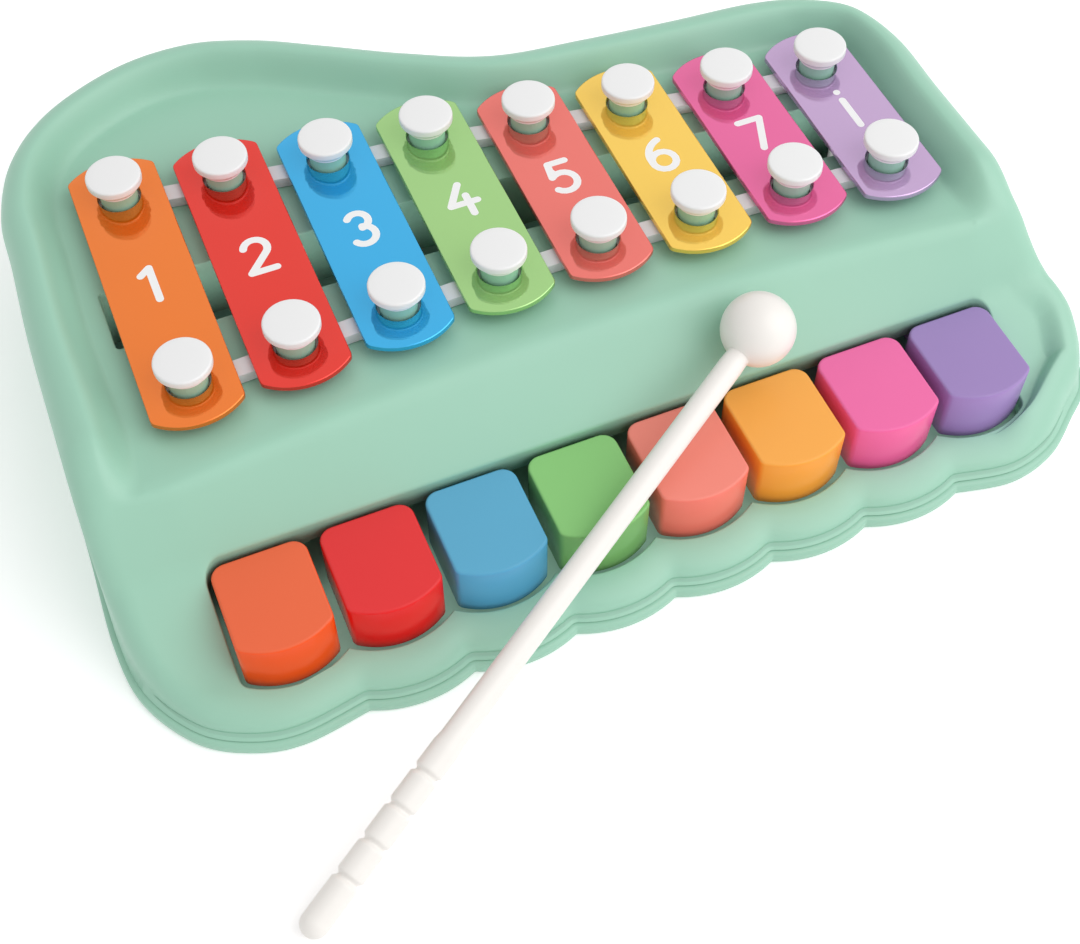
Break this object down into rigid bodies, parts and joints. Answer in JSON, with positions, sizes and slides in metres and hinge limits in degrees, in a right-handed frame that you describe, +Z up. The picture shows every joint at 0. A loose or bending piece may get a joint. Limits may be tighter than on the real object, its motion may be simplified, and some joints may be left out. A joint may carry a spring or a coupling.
{
  "type": "toy piano with glockenspiel bars",
  "caption": "Mint-green toy piano whose coloured keys throw hammers at coloured metal chime bars, with a loose ball-headed mallet resting on it.",
  "frame": {"origin": "on the floor, under the middle of the row of bars, on the base plate's flat underside", "axes": "+X towards the high notes, +Y from the keys to the back of the body, +Z up"},
  "size_m": [0.2566, 0.233, 0.0529],
  "materials": {
    "shell": "satin-gloss moulded mint green",
    "base": "satin-gloss moulded mint green",
    "bar_orange": "smooth orange paint on a steel plate",
    "bar_red": "smooth red paint on a steel plate",
    "bar_blue": "smooth blue paint on a steel plate",
    "bar_green": "smooth green paint on a steel plate",
    "bar_coral": "smooth coral paint on a steel plate",
    "bar_yellow": "smooth yellow paint on a steel plate",
    "bar_pink": "smooth pink paint on a steel plate",
    "bar_lavender": "smooth lavender paint on a steel plate",
    "key_orange": "satin-gloss moulded orange",
    "key_red": "satin-gloss moulded red",
    "key_blue": "satin-gloss moulded blue",
    "key_green": "satin-gloss moulded green",
    "key_coral": "satin-gloss moulded coral",
    "key_yellow": "satin-gloss moulded yellow",
    "key_pink": "satin-gloss moulded pink",
    "key_lavender": "satin-gloss moulded lavender",
    "cap": "smooth white",
    "rail": "soft light grey",
    "hammer": "smooth white",
    "mallet": "satin warm white",
    "steel": "plated steel"
  },
  "bodies": {
    "body": {"upper_shell": "shell", "base_plate": "base", "bar_1": "bar_orange", "bar_2": "bar_red", "bar_3": "bar_blue", "bar_4": "bar_green", "bar_5": "bar_coral", "bar_6": "bar_yellow", "bar_7": "bar_pink", "bar_8": "bar_lavender", "rail_front": "rail", "rail_back": "rail", "cap_front_1": "cap", "cap_front_2": "cap", "cap_front_3": "cap", "cap_front_4": "cap", "cap_front_5": "cap", "cap_front_6": "cap", "cap_front_7": "cap", "cap_front_8": "cap", "cap_back_1": "cap", "cap_back_2": "cap", "cap_back_3": "cap", "cap_back_4": "cap", "cap_back_5": "cap", "cap_back_6": "cap", "cap_back_7": "cap", "cap_back_8": "cap", "key_axle": "steel", "base_screw_1": "steel", "base_screw_2": "steel", "base_screw_3": "steel", "base_screw_4": "steel", "base_screw_5": "steel", "base_screw_6": "steel"},
    "key_action_1": {"key_1": "key_orange", "hammer_1": "hammer"},
    "key_action_2": {"key_2": "key_red", "hammer_2": "hammer"},
    "key_action_3": {"key_3": "key_blue", "hammer_3": "hammer"},
    "key_action_4": {"key_4": "key_green", "hammer_4": "hammer"},
    "key_action_5": {"key_5": "key_coral", "hammer_5": "hammer"},
    "key_action_6": {"key_6": "key_yellow", "hammer_6": "hammer"},
    "key_action_7": {"key_7": "key_pink", "hammer_7": "hammer"},
    "key_action_8": {"key_8": "key_lavender", "hammer_8": "hammer"},
    "mallet": {"mallet_stick": "mallet", "mallet_head": "mallet"}
  },
  "joints": [
    {"name": "key_1_press", "type": "hinge", "parent": "body", "child": "key_action_1", "pos_m": [-0.0894, -0.04532, 0.012], "axis": [1, 0, 0], "range_deg": [0, 5.5], "stiffness_Nm_per_rad": 0.05, "springref_deg": -8.59},
    {"name": "key_2_press", "type": "hinge", "parent": "body", "child": "key_action_2", "pos_m": [-0.0636, -0.04532, 0.012], "axis": [1, 0, 0], "range_deg": [0, 5.5], "stiffness_Nm_per_rad": 0.05, "springref_deg": -8.59},
    {"name": "key_3_press", "type": "hinge", "parent": "body", "child": "key_action_3", "pos_m": [-0.0378, -0.04532, 0.012], "axis": [1, 0, 0], "range_deg": [0, 5.5], "stiffness_Nm_per_rad": 0.05, "springref_deg": -8.59},
    {"name": "key_4_press", "type": "hinge", "parent": "body", "child": "key_action_4", "pos_m": [-0.012, -0.04532, 0.012], "axis": [1, 0, 0], "range_deg": [0, 5.5], "stiffness_Nm_per_rad": 0.05, "springref_deg": -8.59},
    {"name": "key_5_press", "type": "hinge", "parent": "body", "child": "key_action_5", "pos_m": [0.0138, -0.04532, 0.012], "axis": [1, 0, 0], "range_deg": [0, 5.5], "stiffness_Nm_per_rad": 0.05, "springref_deg": -8.59},
    {"name": "key_6_press", "type": "hinge", "parent": "body", "child": "key_action_6", "pos_m": [0.0396, -0.04532, 0.012], "axis": [1, 0, 0], "range_deg": [0, 5.5], "stiffness_Nm_per_rad": 0.05, "springref_deg": -8.59},
    {"name": "key_7_press", "type": "hinge", "parent": "body", "child": "key_action_7", "pos_m": [0.0654, -0.04532, 0.012], "axis": [1, 0, 0], "range_deg": [0, 5.5], "stiffness_Nm_per_rad": 0.05, "springref_deg": -8.59},
    {"name": "key_8_press", "type": "hinge", "parent": "body", "child": "key_action_8", "pos_m": [0.0912, -0.04532, 0.012], "axis": [1, 0, 0], "range_deg": [0, 5.5], "stiffness_Nm_per_rad": 0.05, "springref_deg": -8.59},
    {"name": "mallet_lift", "type": "slide", "parent": "body", "child": "mallet", "axis": [0, 0, 1], "range_m": [0, 0.15]}
  ]
}
